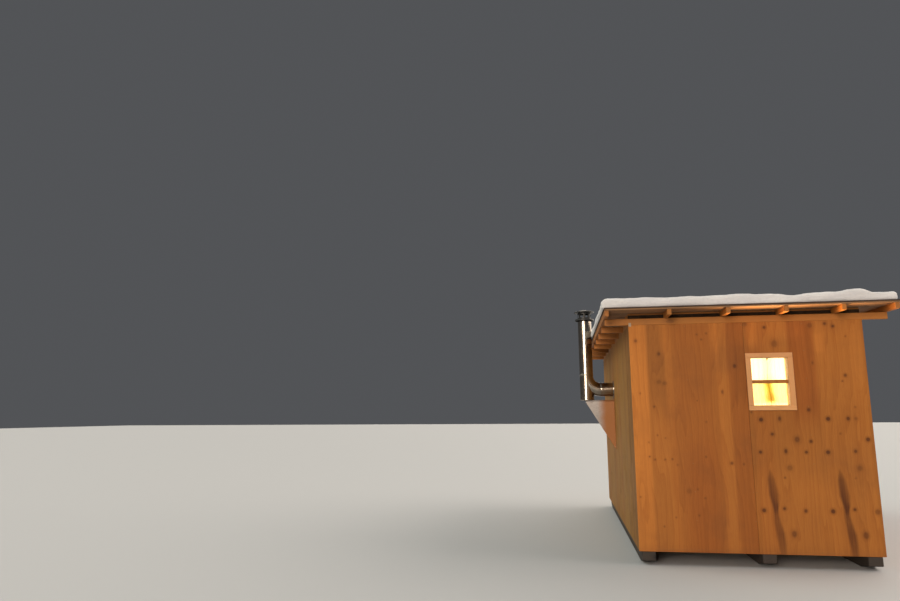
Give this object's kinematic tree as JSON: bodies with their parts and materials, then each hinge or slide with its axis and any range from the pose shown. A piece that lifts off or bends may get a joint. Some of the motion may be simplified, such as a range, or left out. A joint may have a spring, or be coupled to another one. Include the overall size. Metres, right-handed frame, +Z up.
{
  "type": "ice fishing hut",
  "caption": "Plywood-clad timber hut on three sled runners, with a level roof under snow, a lit window and an insulated tee flue on its side wall.",
  "frame": {"origin": "on the underside of the middle runner, on its centre line, halfway along the hut, at floor level", "axes": "+X to the right along the window wall seen from outside, +Y from the window wall to the rear wall, +Z up"},
  "size_m": [3.2625, 5.448, 3.173],
  "materials": {
    "wall_plywood": "rotary cut softwood plywood, upright grain, oiled golden brown, knotty",
    "frame_timber": "planed spruce, bare",
    "door_plywood": "plywood with battens, oiled",
    "floor_plywood": "plywood, worn",
    "roof_timber": "rough sawn boards, greyed",
    "runner_timber": "tarred timber, rough",
    "casing_timber": "pale painted boards, worn",
    "window_glass": "clear",
    "curtain_cloth": "thin light cloth, lit from inside the hut",
    "roof_sheet": "dark bitumen sheet, matte",
    "snow": "settled snow, soft",
    "flue_steel": "bright stainless, polished",
    "cowl_steel": "sooted dark steel",
    "galvanised_steel": "galvanised, dull spangle",
    "black_iron": "black painted iron"
  },
  "bodies": {
    "root": {"runner_left": "runner_timber", "runner_middle": "runner_timber", "runner_right": "runner_timber", "floor_joists": "frame_timber", "floor_sheets": "floor_plywood", "front_wall": "wall_plywood", "left_wall": "wall_plywood", "right_wall": "wall_plywood", "rear_wall_left": "wall_plywood", "rear_wall_right": "wall_plywood", "rear_wall_over_door": "wall_plywood", "door_leaf": "door_plywood", "door_casing": "casing_timber", "door_threshold": "frame_timber", "door_hinges": "black_iron", "door_handle": "black_iron", "window_casing": "casing_timber", "window_frame": "frame_timber", "window_bar": "frame_timber", "window_glass": "window_glass", "curtain_rod": "frame_timber", "curtains": "curtain_cloth", "roof_beam_front": "frame_timber", "roof_beams_middle": "frame_timber", "roof_beam_rear": "frame_timber", "roof_battens": "frame_timber", "eave_board_front": "frame_timber", "eave_board_rear": "frame_timber", "eave_board_left": "frame_timber", "eave_board_right": "frame_timber", "roof_boards": "roof_timber", "roof_sheet": "roof_sheet", "roof_snow": "snow", "flue_wall_pipe": "flue_steel", "flue_wall_collar": "flue_steel", "flue_tee": "flue_steel", "flue_tee_cap": "flue_steel", "flue_pipe": "flue_steel", "flue_ring": "cowl_steel", "flue_cowl": "cowl_steel", "flue_bracket": "galvanised_steel"}
  },
  "joints": []
}
